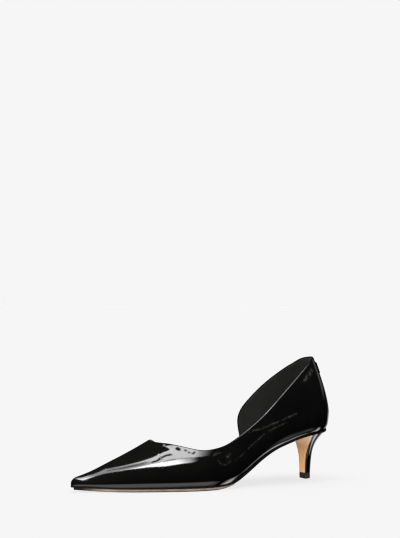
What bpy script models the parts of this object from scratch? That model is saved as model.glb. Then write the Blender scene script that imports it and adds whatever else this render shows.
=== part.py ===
"""Dorsay pump, left shoe: closed lateral side, open medial waist, slim covered heel.

The last is described along the length by short tables. Distances in the tables are in
millimetres, measured along the shoe from the back of the heel and up from the floor.
In the finished part the toe points to -X, the lateral side faces -Y and Z is up.
"""
import math

import bmesh
import bpy
import numpy as np

MM = 0.001

# Main sizes of the shoe
LENGTH = 248.5
BALL_WIDTH = 75.0
HEEL_HEIGHT = 44.4
SEAT_RADIUS = 28.0
TOE_ROUND = 9.0
NOSE_ROUND = 6.0
NOSE_DROP = 0.62
WALL = 1.6
GAP = 0.3
CENTRE_ALONG = 124.31
CENTRE_ACROSS = 0.50

# Outline of the feather line: place as a share of the length, widths as shares of the ball width
OUTLINE = {
    "place":   [0.00, 0.11, 0.18, 0.25, 0.32, 0.40, 0.46, 0.52, 0.58, 0.64, 0.72, 0.80, 0.88, 0.95, 1.00],
    "lateral": [0.307, 0.307, 0.315, 0.300, 0.300, 0.355, 0.427, 0.488, 0.490, 0.440, 0.350, 0.240, 0.120,
                0.000, -0.070],
    "medial":  [0.307, 0.307, 0.300, 0.265, 0.247, 0.290, 0.385, 0.470, 0.507, 0.500, 0.447, 0.367, 0.273,
                0.180, 0.115],
}

# Side view of the sole's underside: heights as shares of the heel height
UNDERSIDE = {
    "place":  [0.00, 0.07, 0.13, 0.18, 0.25, 0.30, 0.35, 0.405, 0.445, 0.485, 0.52, 0.82, 0.88, 0.94, 1.00],
    "height": [1.00, 0.967, 0.915, 0.842, 0.699, 0.534, 0.337, 0.148, 0.050, 0.008, 0.00, 0.00, 0.008,
               0.025, 0.050],
}

# Thickness of the sole, and room that the tan tread takes below it
SOLE_LAYERS = {
    "place": [0.00, 0.20, 0.30, 0.42, 0.50, 1.00],
    "sole":  [1.20, 1.30, 1.60, 1.60, 1.40, 1.40],
    "tread": [0.00, 0.00, 0.00, 0.00, 1.70, 1.70],
}

# Sections of the last: height of the ridge over the feather line, its sideways place, overhang of the
# wall past the feather line, height of the widest line, and two exponents for how the wall closes
SECTIONS = {
    "place":  [0.00, 0.112, 0.16, 0.24, 0.32, 0.40, 0.48, 0.56, 0.64, 0.707, 0.737, 0.798, 0.857, 0.915,
               0.947, 0.976, 1.00],
    "ridge":  [94.0, 94.0, 88.0, 80.0, 76.0, 70.0, 63.0, 54.5, 46.0, 38.2, 34.1, 26.9, 20.5, 13.5, 10.5,
               7.6, 5.8],
    "offset": [0.0, 0.0, 0.0, 0.0, 1.0, 2.0, 3.0, 4.0, 4.5, 5.0, 5.2, 5.5, 6.0, 6.5, 7.0, 7.5, 7.5],
    "over":   [5.0, 5.0, 5.0, 5.0, 5.0, 4.0, 3.0, 2.5, 2.2, 2.0, 2.0, 1.8, 1.5, 1.2, 1.0, 0.8, 0.6],
    "widest": [16.0, 16.0, 16.0, 15.0, 14.0, 12.0, 10.0, 9.0, 8.5, 8.0, 8.0, 7.0, 5.3, 3.6, 2.8, 2.4, 2.4],
    "rise":   [1.4, 1.4, 1.5, 1.75, 1.8, 1.9, 2.0, 2.0, 1.9, 1.85, 1.8, 1.65, 1.35, 1.15, 1.1, 1.15, 1.35],
    "full":   [1.1, 1.1, 1.15, 1.2, 1.2, 1.25, 1.3, 1.3, 1.3, 1.3, 1.35, 1.5, 1.75, 1.9, 1.8, 1.8, 1.85],
}
SECTION_BLEND = 5.0
BACK_TUCK = 0.7
WIDEST_LIMIT = 0.5
TURN_SHARE = 0.45
TURN_HEIGHT = 5.0

# Topline, in millimetres from the back and up from the floor
THROAT = 175.5
THROAT_HEIGHT = 41.4
COLLAR_LATERAL = {
    "along":  [28.0, 37.9, 51.7, 64.7, 77.3, 89.8, 99.1, 108.9, 118.0, 126.4, 134.4, 141.0, 147.7, 153.3,
               161.6, 169.1, THROAT],
    "height": [104.2, 95.9, 84.1, 72.2, 60.9, 52.2, 46.5, 41.3, 38.0, 36.6, 35.6, 35.3, 36.7, 38.2,
               39.8, 40.9, THROAT_HEIGHT],
}
COLLAR_BACK = {
    "degrees": [-90.0, -67.0, -50.0, -30.0, 0.0, 35.0, 52.0, 66.0, 80.0, 90.0],
    "height":  [104.2, 108.2, 110.1, 111.0, 111.4, 110.2, 108.9, 106.7, 104.3, 102.7],
}
COLLAR_MEDIAL = {
    "along":  [28.0, 32.9, 40.6, 48.6, 56.8, 64.8, 70.0],
    "height": [102.7, 100.0, 95.1, 89.8, 83.6, 76.6, 71.4],
}
QUARTER_FRONT = {
    "height": [26.6, 32.0, 39.0, 46.5, 53.1, 58.0, 62.5, 67.0, 71.4],
    "along":  [72.0, 73.4, 75.3, 77.2, 78.5, 78.4, 76.9, 74.2, 70.0],
}
WING_TIP = 122.0
WING = {
    "along":  [WING_TIP, 125.0, 130.0, 138.0, 148.0, 158.0, 168.0, 172.0, THROAT],
    "height": [8.0, 10.4, 14.8, 21.8, 29.4, 35.8, 40.4, 41.3, THROAT_HEIGHT],
}

# Steps of the upper's grid
ROWS = 13
BACK_STEP = 10.0
LATERAL_COLUMNS = 24
QUARTER_COLUMNS = 9
WING_COLUMNS = 10
VAMP_COLUMNS = 15
FINE = 240

# Insole
INSOLE_THICK = 2.6
INSOLE = {
    "along": [0.0, 68.0, 80.0, 112.0, 126.0, 250.0],
    "inset": [2.3, 2.3, 0.6, 0.6, 2.3, 2.3],
}
INSOLE_TOE_INSET = 4.0
SOLE_MARGIN = {
    "place":  [0.00, 0.08, 0.20, 0.80, 1.00],
    "margin": [1.50, 1.50, 0.50, 0.50, 0.10],
}
SOLE_STATIONS = 56
SOLE_STRIPS = 6

# Tan tread under the forefoot
TREAD_START = 108.0
TREAD_INSET = 0.1
TREAD_STATIONS = 34

# Heel: height from the floor, half width and depth of the D section, place of its flat front
LIFT_HEIGHT = 5.0
HEEL = {
    "height": [5.3, 12.0, 17.5, 22.8, 27.0, 31.5, 36.0, 40.0, 43.5],
    "half":   [5.2, 5.4, 6.0, 7.2, 9.0, 11.5, 15.0, 19.0, 22.3],
    "depth":  [6.3, 6.7, 7.1, 7.6, 8.1, 9.2, 11.3, 14.8, 19.2],
    "front":  [22.5, 22.5, 22.5, 22.5, 22.5, 22.5, 22.6, 23.0, 23.6],
}
HEEL_RINGS = 15
HEEL_ARC = 20
BREAST_THICK = 0.8
BREAST_STRIPS = 6

# Tab at the top of the back seam
TAB_HALF_WIDTH = 4.8
TAB_TOP = 105.6
TAB_BOTTOM = 95.6
TAB_THICK = 1.2
TAB_STEPS = 6

COLOURS = {
    "patent":      ((0.006, 0.006, 0.006), 0.08, 0.0),
    "lining":      ((0.020, 0.020, 0.019), 0.60, 0.0),
    "edge_black":  ((0.010, 0.010, 0.010), 0.35, 0.0),
    "tan_leather": ((0.560, 0.330, 0.150), 0.45, 0.0),
    "rubber":      ((0.012, 0.012, 0.012), 0.70, 0.0),
}


def smooth_table(table, column, key="place", scale=LENGTH, blend=SECTION_BLEND):
    """A function that runs through a table's column, with its corners rounded over the blend."""
    step = 0.5
    reach = int(4 * blend / step)
    xs = np.arange(-40.0, LENGTH + 40.0, step)
    ys = np.interp(xs, np.array(table[key]) * scale, table[column])
    weights = np.exp(-0.5 * (np.arange(-reach, reach + 1) * step / blend) ** 2)
    ys = np.convolve(np.pad(ys, reach, mode="edge"), weights / weights.sum(), mode="valid")
    return lambda at: np.interp(at, xs, ys)


WIDTH = {-1: smooth_table(OUTLINE, "lateral"), 1: smooth_table(OUTLINE, "medial")}
SECTION = {name: smooth_table(SECTIONS, name) for name in SECTIONS if name != "place"}
UNDERSIDE_AT = smooth_table(UNDERSIDE, "height")
SOLE_AT = smooth_table(SOLE_LAYERS, "sole")
TREAD_AT = smooth_table(SOLE_LAYERS, "tread")
MARGIN_AT = smooth_table(SOLE_MARGIN, "margin")


def feather_width(side, along):
    """Distance of the feather line from the centre line, before the toe is rounded."""
    return WIDTH[side](along) * BALL_WIDTH


def underside(along):
    return UNDERSIDE_AT(along) * HEEL_HEIGHT


def sole_bottom(along):
    return underside(along) + TREAD_AT(along)


def sole_top(along):
    return sole_bottom(along) + SOLE_AT(along)


def feather_height(along):
    return sole_top(along) + GAP


def toe_share(along):
    """How much of the width is left in the rounded toe: one before it, none at the tip."""
    past = np.clip((np.asarray(along) - (LENGTH - TOE_ROUND)) / TOE_ROUND, 0.0, 1.0)
    return np.sqrt(1.0 - past * past)


def ridge_height(along):
    """Height of the ridge over the feather line, rounded down at the nose of the toe."""
    past = np.clip((np.asarray(along) - (LENGTH - NOSE_ROUND)) / NOSE_ROUND, 0.0, 1.0)
    return SECTION["ridge"](along) * (1.0 - NOSE_DROP * (1.0 - np.sqrt(1.0 - past * past)))


def wall_shape(along, height):
    """Share of the full width, and how far the wall is tucked in, at a height over the feather line."""
    ridge = ridge_height(along)
    widest = np.minimum(SECTION["widest"](along), ridge * WIDEST_LIMIT)
    climb = np.clip((height - widest) / (ridge - widest), 0.0, 1.0)
    share = (1.0 - climb ** SECTION["rise"](along)) ** (1.0 / SECTION["full"](along))
    turn = np.minimum(TURN_HEIGHT, widest)
    lean = (1.0 - TURN_SHARE) * np.clip(1.0 - height / widest, 0.0, 1.0) ** 2
    lean = lean + TURN_SHARE * np.clip(1.0 - height / turn, 0.0, 1.0) ** 2
    tuck = lean * SECTION["over"](along)
    return share, tuck


def side_point(side, along, height):
    """A point of the last's side: side -1 lateral, 1 medial, height over the feather line."""
    along, height = np.broadcast_arrays(np.asarray(along, float), np.asarray(height, float))
    share, tuck = wall_shape(along, height)
    left = toe_share(along)
    middle = (feather_width(1, along) - feather_width(-1, along)) / 2
    half = (feather_width(1, along) + feather_width(-1, along)) / 2
    edge = middle + side * half
    full = edge + side * SECTION["over"](along)
    offset = SECTION["offset"](along)
    across = offset + (full - offset) * share - side * tuck
    across = middle + (across - middle) * left
    return np.stack([along, across, feather_height(along) + height], -1)


def back_point(degrees, height):
    """A point of the heel's back: 0 degrees at the back seam, -90 lateral, 90 medial."""
    turn = np.radians(degrees)
    share, tuck = wall_shape(SEAT_RADIUS, height)
    sideways = (feather_width(1, SEAT_RADIUS) + SECTION["over"](SEAT_RADIUS)) * share - tuck
    backwards = SEAT_RADIUS * share - tuck * BACK_TUCK
    along = SEAT_RADIUS - backwards * np.cos(turn)
    return np.stack([along, sideways * np.sin(turn), feather_height(along) + height], -1)


def height_reaching(level, place):
    """The height over the feather line at which a place on the back reaches a level over the floor."""
    low, high = 0.0, 90.0
    for _ in range(40):
        middle = (low + high) / 2
        if place(middle)[2] < level:
            low = middle
        else:
            high = middle
    return low


def evenly(points, count):
    """The same line with count + 1 points at even distances."""
    steps = np.linalg.norm(np.diff(points, axis=0), axis=1)
    run = np.concatenate([[0.0], np.cumsum(steps)])
    marks = np.linspace(0.0, run[-1], count + 1)
    return np.stack([np.interp(marks, run, points[:, axis]) for axis in range(3)], -1)


def rounded(table, key, value):
    """A table's values as a function, with its corners rounded a little, that keeps both ends."""
    xs = np.linspace(table[key][0], table[key][-1], 400)
    ys = np.interp(xs, table[key], table[value])
    line = ys[0] + (ys[-1] - ys[0]) * np.linspace(0.0, 1.0, len(xs))
    reach = 36
    weights = np.exp(-0.5 * (np.arange(-reach, reach + 1) / 12.0) ** 2)
    rest = np.pad(ys - line, reach, mode="reflect", reflect_type="odd")
    ys = line + np.convolve(rest, weights / weights.sum(), mode="valid")
    return lambda at: np.interp(at, xs, ys)


def side_column(side, along, level):
    """A column of the upper straight up a side, from the feather line to a level over the floor."""
    top = level - feather_height(along)
    fine = side_point(side, along, top * np.sin(np.linspace(0.0, math.pi / 2, FINE)))
    return evenly(fine, ROWS)


def back_columns(step):
    level = rounded(COLLAR_BACK, "degrees", "height")
    columns = []
    for degrees in np.arange(90.0 - step, -90.0, -step):
        top = height_reaching(level(degrees), lambda height: back_point(degrees, height))
        columns.append(evenly(back_point(degrees, np.linspace(0.0, top, FINE)), ROWS))
    return columns


def quarter_columns(count):
    """The medial quarter, from its front edge back to the heel: columns that lean with the edge."""
    collar = rounded(COLLAR_MEDIAL, "along", "height")
    front = rounded(QUARTER_FRONT, "height", "along")
    foot = QUARTER_FRONT["along"][0]
    corner = COLLAR_MEDIAL["along"][-1]
    corner_height = COLLAR_MEDIAL["height"][-1]
    rise = np.linspace(0.0, 1.0, FINE)
    columns = []
    for share in np.linspace(1.0, 0.0, count + 1):
        base = SEAT_RADIUS + (foot - SEAT_RADIUS) * share
        top = SEAT_RADIUS + (corner - SEAT_RADIUS) * share
        front_height = feather_height(foot) + (corner_height - feather_height(foot)) * rise
        bow = front(front_height) - (foot + (corner - foot) * rise)
        along = base + (top - base) * rise + share * bow
        level = feather_height(base) + (collar(top) - feather_height(base)) * rise
        height = np.maximum(level - feather_height(along), 0.0)
        columns.append(evenly(side_point(1, along, height), ROWS))
    return columns


def upper_columns():
    """Columns of the upper's outer face, from the medial quarter round the heel and toe to the wing."""
    columns = quarter_columns(QUARTER_COLUMNS)
    columns += back_columns(BACK_STEP)
    level = rounded(COLLAR_LATERAL, "along", "height")
    for along in np.linspace(SEAT_RADIUS, THROAT, LATERAL_COLUMNS + 1)[:-1]:
        columns.append(side_column(-1, along, level(along)))
    vamp = THROAT + (LENGTH - THROAT) * np.sin(np.linspace(0.0, math.pi / 2, VAMP_COLUMNS + 1))
    for along in vamp[:-1]:
        columns.append(side_column(-1, along, feather_height(along) + ridge_height(along)))
    columns.append(side_column(1, LENGTH, feather_height(LENGTH) + ridge_height(LENGTH)))
    for along in vamp[-2::-1]:
        columns.append(side_column(1, along, feather_height(along) + ridge_height(along)))
    wing = rounded(WING, "along", "height")
    for along in np.linspace(THROAT, WING_TIP, WING_COLUMNS + 1)[1:]:
        columns.append(side_column(1, along, wing(along)))
    return columns


def to_part(points):
    """From millimetres along, across and up to the part's metres, with the toe at -X."""
    points = np.asarray(points, float)
    return np.stack([CENTRE_ALONG - points[..., 0], points[..., 1] - CENTRE_ACROSS, points[..., 2]], -1) * MM


def material(name):
    colour, roughness, metallic = COLOURS[name]
    made = bpy.data.materials.get(name)
    if made is None:
        made = bpy.data.materials.new(name)
        made.use_nodes = True
        shader = made.node_tree.nodes["Principled BSDF"]
        shader.inputs["Base Color"].default_value = (*colour, 1.0)
        shader.inputs["Roughness"].default_value = roughness
        shader.inputs["Metallic"].default_value = metallic
        made.diffuse_color = (*colour, 1.0)
    return made


def new_object(name, points, faces, colour, collection):
    """A mesh object from points in millimetres, with equal points merged and faces turned outward."""
    mesh = bpy.data.meshes.new(name)
    mesh.from_pydata(to_part(points).tolist(), [], faces)
    work = bmesh.new()
    work.from_mesh(mesh)
    bmesh.ops.remove_doubles(work, verts=work.verts, dist=0.00004)
    bmesh.ops.dissolve_degenerate(work, edges=work.edges, dist=0.00001)
    bmesh.ops.recalc_face_normals(work, faces=work.faces)
    work.to_mesh(mesh)
    work.free()
    made = bpy.data.objects.new(name, mesh)
    made.data.materials.append(material(colour))
    collection.objects.link(made)
    return made


def grid_faces(columns, rows, start=0, flip=False):
    """Quads of a grid of points that is stored column by column."""
    faces = []
    for column in range(columns - 1):
        for row in range(rows - 1):
            a = start + column * rows + row
            quad = [a, a + 1, a + 1 + rows, a + rows]
            faces.append(quad[::-1] if flip else quad)
    return faces


def face_outward(made, inside):
    """Turn an open surface so that its faces point away from a point inside, in metres."""
    work = bmesh.new()
    work.from_mesh(made.data)
    work.faces.ensure_lookup_table()
    score = sum(face.normal.dot(face.calc_center_median() - inside(face)) * face.calc_area()
                for face in work.faces)
    if score < 0.0:
        bmesh.ops.reverse_faces(work, faces=work.faces)
    work.to_mesh(made.data)
    work.free()


def solidify(made, thick, offset):
    """Give an open surface a real wall of even thickness."""
    shell = made.modifiers.new("wall", "SOLIDIFY")
    shell.thickness = thick * MM
    shell.offset = offset
    shell.use_even_offset = True
    shell.use_rim = True


def make_upper(collection):
    columns = upper_columns()
    points = np.concatenate(columns)
    faces = grid_faces(len(columns), ROWS + 1)
    upper = new_object("upper", points, faces, "patent", collection)

    def axis_point(face):
        centre = face.calc_center_median()
        return centre.__class__((centre.x, 0.002, centre.z))

    face_outward(upper, axis_point)
    solidify(upper, WALL, -1.0)
    return upper


def slab(name, stations, edges, top, bottom, colour, collection, strips=SOLE_STRIPS):
    """A plate along the shoe. edges gives both sides at a station, top and bottom its heights."""
    shares = np.linspace(0.0, 1.0, strips + 1)
    upper_face, lower_face = [], []
    for along in stations:
        low, high = edges(along)
        across = low[1] + (high[1] - low[1]) * shares
        places = low[0] + (high[0] - low[0]) * shares
        upper_face.append(np.stack([places, across, top(places)], -1))
        lower_face.append(np.stack([places, across, bottom(places)], -1))
    rows = strips + 1
    count = len(stations)
    points = np.concatenate(upper_face + lower_face)
    base = count * rows
    faces = grid_faces(count, rows) + grid_faces(count, rows, base, flip=True)
    for column in range(count - 1):
        for row in (0, rows - 1):
            a = column * rows + row
            faces.append([a, a + rows, a + rows + base, a + base])
    for row in range(rows - 1):
        for column in (0, count - 1):
            a = column * rows + row
            faces.append([a, a + 1, a + 1 + base, a + base])
    return new_object(name, points, faces, colour, collection)


def outline_edges(along, inset, toe_inset=None, heel_inset=None):
    """Both edges of the feather outline at a station, moved inward by the inset."""
    toe_inset = inset if toe_inset is None else toe_inset
    heel_inset = inset if heel_inset is None else heel_inset
    tuck = SECTION["over"](SEAT_RADIUS) * BACK_TUCK
    seat_length = SEAT_RADIUS - tuck - heel_inset
    past_seat = np.clip((SEAT_RADIUS - along) / seat_length, 0.0, 1.0)
    toe_end = LENGTH - toe_inset
    past_toe = np.clip((along - (toe_end - TOE_ROUND)) / TOE_ROUND, 0.0, 1.0)
    share = math.sqrt(max(1.0 - past_seat ** 2, 0.0)) * math.sqrt(max(1.0 - past_toe ** 2, 0.0))
    middle = (feather_width(1, along) - feather_width(-1, along)) / 2
    low = -(feather_width(-1, along) - inset)
    high = feather_width(1, along) - inset
    return (along, middle + (low - middle) * share), (along, middle + (high - middle) * share)


def stations_between(start, end, count):
    """Stations that crowd toward both ends, where the outline turns."""
    return start + (end - start) * (1.0 - np.cos(np.linspace(0.0, math.pi, count))) / 2


def make_sole(collection):
    seat_end = SECTION["over"](SEAT_RADIUS) * BACK_TUCK - MARGIN_AT(0.0)
    toe_end = LENGTH + MARGIN_AT(LENGTH)
    stations = stations_between(seat_end, toe_end, SOLE_STATIONS)

    def edges(along):
        return outline_edges(along, -MARGIN_AT(along), -MARGIN_AT(LENGTH), -MARGIN_AT(0.0))

    return slab("sole", stations, edges, sole_top, sole_bottom, "edge_black", collection)


def make_tread(collection):
    run = LENGTH - TREAD_INSET - TREAD_START
    stations = TREAD_START + run * np.sin(np.linspace(0.0, math.pi / 2, TREAD_STATIONS))

    def edges(along):
        return outline_edges(along, TREAD_INSET - MARGIN_AT(along), TREAD_INSET)

    def top(along):
        return sole_bottom(along) - GAP

    return slab("forefoot_tread", stations, edges, top, underside, "tan_leather", collection)


def make_insole(collection):
    inset_at = smooth_table(INSOLE, "inset", key="along", scale=1.0, blend=2.5)
    usual = INSOLE["inset"][0]
    seat_end = SECTION["over"](SEAT_RADIUS) * BACK_TUCK + usual
    stations = stations_between(seat_end, LENGTH - INSOLE_TOE_INSET, SOLE_STATIONS)

    def edges(along):
        low, high = outline_edges(along, usual, INSOLE_TOE_INSET)
        return low, (high[0], high[1] + usual - inset_at(along))

    def top(along):
        return feather_height(along) + INSOLE_THICK

    return slab("insole", stations, edges, top, feather_height, "lining", collection)


def heel_section(level):
    """Half width, depth and front of the heel at a level, from its table."""
    return [np.interp(level, HEEL["height"], HEEL[name]) for name in ("half", "depth", "front")]


def under_seat(along):
    return sole_bottom(along) - GAP


def make_heel(collection):
    """D sections stacked from the lift to the seat, the last one lying along the sole."""
    bottom, top = HEEL["height"][0], HEEL["height"][-1]
    rings = []
    for rise in np.linspace(0.0, 1.0, HEEL_RINGS) ** 0.9:
        half, depth, front = heel_section(bottom + (top - bottom) * rise)
        turn = np.linspace(-math.pi / 2, math.pi / 2, HEEL_ARC + 1)
        along = front - depth * np.cos(turn)
        level = bottom + (under_seat(along) - bottom) * rise
        rings.append(np.stack([along, half * np.sin(turn), level], -1))
    rows = HEEL_ARC + 1
    faces = grid_faces(HEEL_RINGS, rows)
    for ring in range(HEEL_RINGS - 1):
        a = ring * rows
        faces.append([a, a + rows, a + 2 * rows - 1, a + rows - 1])
    for ring in (0, HEEL_RINGS - 1):
        start = ring * rows
        for step in range(HEEL_ARC // 2):
            first, last = start + step, start + HEEL_ARC - step
            quad = [first, first + 1, last - 1, last]
            faces.append(quad if first + 1 != last - 1 else quad[:3])
    return new_object("heel", np.concatenate(rings), faces, "patent", collection)


def make_breast_cover(collection):
    """A thin leather facing that follows the flat front of the heel."""
    bottom, top = HEEL["height"][0], HEEL["height"][-1]
    front_face, back_face = [], []
    for rise in np.linspace(0.0, 1.0, HEEL_RINGS) ** 0.9:
        half, _, front = heel_section(bottom + (top - bottom) * rise)
        across = np.linspace(-half, half, BREAST_STRIPS + 1)
        level = bottom + (under_seat(front + GAP + BREAST_THICK) - bottom) * rise
        ones = np.ones_like(across)
        back_face.append(np.stack([ones * (front + GAP), across, ones * level], -1))
        front_face.append(np.stack([ones * (front + GAP + BREAST_THICK), across, ones * level], -1))
    rows = BREAST_STRIPS + 1
    base = HEEL_RINGS * rows
    faces = grid_faces(HEEL_RINGS, rows) + grid_faces(HEEL_RINGS, rows, base, flip=True)
    for ring in range(HEEL_RINGS - 1):
        for row in (0, rows - 1):
            a = ring * rows + row
            faces.append([a, a + rows, a + rows + base, a + base])
    for row in range(rows - 1):
        for ring in (0, HEEL_RINGS - 1):
            a = ring * rows + row
            faces.append([a, a + 1, a + 1 + base, a + base])
    return new_object("breast_cover", np.concatenate(back_face + front_face), faces, "tan_leather",
                      collection)


def make_top_piece(collection):
    """The lift: a D section with its flat underside on the floor."""
    half, depth, front = heel_section(HEEL["height"][0])
    front += GAP + BREAST_THICK
    depth += GAP + BREAST_THICK
    turn = np.linspace(-math.pi / 2, math.pi / 2, HEEL_ARC + 1)
    rings = []
    for level in (0.0, LIFT_HEIGHT):
        along = front - depth * np.cos(turn)
        rings.append(np.stack([along, half * np.sin(turn), np.full_like(along, level)], -1))
    rows = HEEL_ARC + 1
    faces = grid_faces(2, rows)
    faces.append([0, rows, 2 * rows - 1, rows - 1])
    faces.append(list(range(rows)))
    faces.append(list(range(2 * rows - 1, rows - 1, -1)))
    return new_object("top_piece", np.concatenate(rings), faces, "rubber", collection)


def make_back_tab(collection):
    """A small plain tab that lies on the back seam, just outside the upper."""
    columns = []
    clearance = GAP + TAB_THICK / 2
    for share in np.linspace(-1.0, 1.0, TAB_STEPS + 1):
        column = []
        for level in np.linspace(TAB_BOTTOM, TAB_TOP, TAB_STEPS + 1):
            height = height_reaching(level, lambda value: back_point(0.0, value))
            radius = abs(back_point(90.0, height)[1])
            degrees = math.degrees(math.asin(share * TAB_HALF_WIDTH / radius))
            point = back_point(degrees, height)
            beside = back_point(degrees + 0.5, height) - back_point(degrees - 0.5, height)
            above = back_point(degrees, height + 0.5) - back_point(degrees, height - 0.5)
            outward = np.cross(beside, above)
            outward /= np.linalg.norm(outward)
            if outward[0] > 0.0:
                outward = -outward
            column.append(point + outward * clearance)
        columns.append(np.array(column))
    tab = new_object("back_tab", np.concatenate(columns), grid_faces(TAB_STEPS + 1, TAB_STEPS + 1), "patent",
                     collection)
    solidify(tab, TAB_THICK, 0.0)
    return tab


def main():
    for old in list(bpy.data.objects):
        bpy.data.objects.remove(old, do_unlink=True)
    collection = bpy.data.collections.new("dorsay_pump")
    bpy.context.scene.collection.children.link(collection)
    make_upper(collection)
    make_insole(collection)
    make_sole(collection)
    make_tread(collection)
    make_heel(collection)
    make_breast_cover(collection)
    make_top_piece(collection)
    make_back_tab(collection)


main()
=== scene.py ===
import math

import bmesh
import bpy
import numpy as np
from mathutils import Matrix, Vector
from mathutils.kdtree import KDTree


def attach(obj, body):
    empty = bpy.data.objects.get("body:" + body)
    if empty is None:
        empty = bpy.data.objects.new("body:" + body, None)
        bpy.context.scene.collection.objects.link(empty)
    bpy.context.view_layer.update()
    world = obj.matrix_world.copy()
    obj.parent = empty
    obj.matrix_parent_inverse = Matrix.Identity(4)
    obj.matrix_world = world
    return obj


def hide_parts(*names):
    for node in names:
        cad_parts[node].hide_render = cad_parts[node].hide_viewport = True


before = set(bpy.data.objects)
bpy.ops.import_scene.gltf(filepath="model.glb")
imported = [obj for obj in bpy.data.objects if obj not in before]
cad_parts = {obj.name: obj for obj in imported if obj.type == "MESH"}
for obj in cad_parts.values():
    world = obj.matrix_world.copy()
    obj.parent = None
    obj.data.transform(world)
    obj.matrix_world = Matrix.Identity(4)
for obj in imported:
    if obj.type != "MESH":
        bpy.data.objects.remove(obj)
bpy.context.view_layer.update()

mm = 0.001

# The last: the same tables as the solids, lengths in millimetres from the back of the heel

lastSizes = {
    "length": 248.5,
    "ballWidth": 75.0,
    "heelHeight": 44.4,
    "seatRadius": 28.0,
    "toeRound": 9.0,
    "noseRound": 6.0,
    "noseDrop": 0.62,
    "gap": 0.3,
    "backTuck": 0.7,
    "turnShare": 0.45,
    "turnHeight": 5.0,
    "centreAlong": 124.31,
    "centreAcross": 0.5,
}
length = lastSizes["length"]
seat = lastSizes["seatRadius"]

outline = {
    "place":   [0.00, 0.11, 0.18, 0.25, 0.32, 0.40, 0.46, 0.52, 0.58, 0.64, 0.72, 0.80, 0.88, 0.95, 1.00],
    "lateral": [0.307, 0.307, 0.315, 0.300, 0.300, 0.355, 0.427, 0.488, 0.490, 0.440, 0.350, 0.240, 0.120,
                0.000, -0.070],
    "medial":  [0.307, 0.307, 0.300, 0.265, 0.247, 0.290, 0.385, 0.470, 0.507, 0.500, 0.447, 0.367, 0.273,
                0.180, 0.115],
}
underside = {
    "place":  [0.00, 0.07, 0.13, 0.18, 0.25, 0.30, 0.35, 0.405, 0.445, 0.485, 0.52, 0.82, 0.88, 0.94, 1.00],
    "height": [1.00, 0.967, 0.915, 0.842, 0.699, 0.534, 0.337, 0.148, 0.050, 0.008, 0.00, 0.00, 0.008,
               0.025, 0.050],
}
soleLayers = {
    "place":  [0.00, 0.20, 0.30, 0.42, 0.50, 1.00],
    "sole":   [1.20, 1.30, 1.60, 1.60, 1.40, 1.40],
    "tread":  [0.00, 0.00, 0.00, 0.00, 1.70, 1.70],
}
soleMargin = {
    "place":  [0.00, 0.08, 0.20, 0.80, 1.00],
    "margin": [1.50, 1.50, 0.50, 0.50, 0.10],
}
sections = {
    "place":  [0.00, 0.112, 0.16, 0.24, 0.32, 0.40, 0.48, 0.56, 0.64, 0.707, 0.737, 0.798, 0.857, 0.915,
               0.947, 0.976, 1.00],
    "ridge":  [94.0, 94.0, 88.0, 80.0, 76.0, 70.0, 63.0, 54.5, 46.0, 38.2, 34.1, 26.9, 20.5, 13.5, 10.5,
               7.6, 5.8],
    "offset": [0.0, 0.0, 0.0, 0.0, 1.0, 2.0, 3.0, 4.0, 4.5, 5.0, 5.2, 5.5, 6.0, 6.5, 7.0, 7.5, 7.5],
    "over":   [5.0, 5.0, 5.0, 5.0, 5.0, 4.0, 3.0, 2.5, 2.2, 2.0, 2.0, 1.8, 1.5, 1.2, 1.0, 0.8, 0.6],
    "widest": [16.0, 16.0, 16.0, 15.0, 14.0, 12.0, 10.0, 9.0, 8.5, 8.0, 8.0, 7.0, 5.3, 3.6, 2.8, 2.4, 2.4],
    "rise":   [1.4, 1.4, 1.5, 1.75, 1.8, 1.9, 2.0, 2.0, 1.9, 1.85, 1.8, 1.65, 1.35, 1.15, 1.1, 1.15, 1.35],
    "full":   [1.1, 1.1, 1.15, 1.2, 1.2, 1.25, 1.3, 1.3, 1.3, 1.3, 1.35, 1.5, 1.75, 1.9, 1.8, 1.8, 1.85],
}
throat = 175.5
throatHeight = 41.4
collarLateral = {
    "along":  [28.0, 37.9, 51.7, 64.7, 77.3, 89.8, 99.1, 108.9, 118.0, 126.4, 134.4, 141.0, 147.7, 153.3,
               161.6, 169.1, throat],
    "height": [104.2, 95.9, 84.1, 72.2, 60.9, 52.2, 46.5, 41.3, 38.0, 36.6, 35.6, 35.3, 36.7, 38.2,
               39.8, 40.9, throatHeight],
}
collarBack = {
    "degrees": [-90.0, -67.0, -50.0, -30.0, 0.0, 35.0, 52.0, 66.0, 80.0, 90.0],
    "height":  [104.2, 108.2, 110.1, 111.0, 111.4, 110.2, 108.9, 106.7, 104.3, 102.7],
}
collarMedial = {
    "along":  [28.0, 32.9, 40.6, 48.6, 56.8, 64.8, 70.0],
    "height": [102.7, 100.0, 95.1, 89.8, 83.6, 76.6, 71.4],
}
quarterFront = {
    "height": [26.6, 32.0, 39.0, 46.5, 53.1, 58.0, 62.5, 67.0, 71.4],
    "along":  [72.0, 73.4, 75.3, 77.2, 78.5, 78.4, 76.9, 74.2, 70.0],
}
wingTip = 122.0
wing = {
    "along":  [wingTip, 125.0, 130.0, 138.0, 148.0, 158.0, 168.0, 172.0, throat],
    "height": [8.0, 10.4, 14.8, 21.8, 29.4, 35.8, 40.4, 41.3, throatHeight],
}
# a smoothed table: its spacing, its run past both ends and its softening; a rounded one: its count of steps,
# and its softening in steps
smoothing = {"step": 0.5, "margin": 40.0, "blend": 5.0, "reach": 4}
rounding = {"steps": 400, "blend": 12.0, "reach": 3}


def bell(away, width):
    return np.exp(-0.5 * (away / width) ** 2)


def softened(values, width, reach, step=1.0, **padding):
    weights = bell(np.arange(-reach, reach + 1) * step, width)
    return np.convolve(np.pad(values, reach, **padding), weights / weights.sum(), mode="valid")


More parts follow.
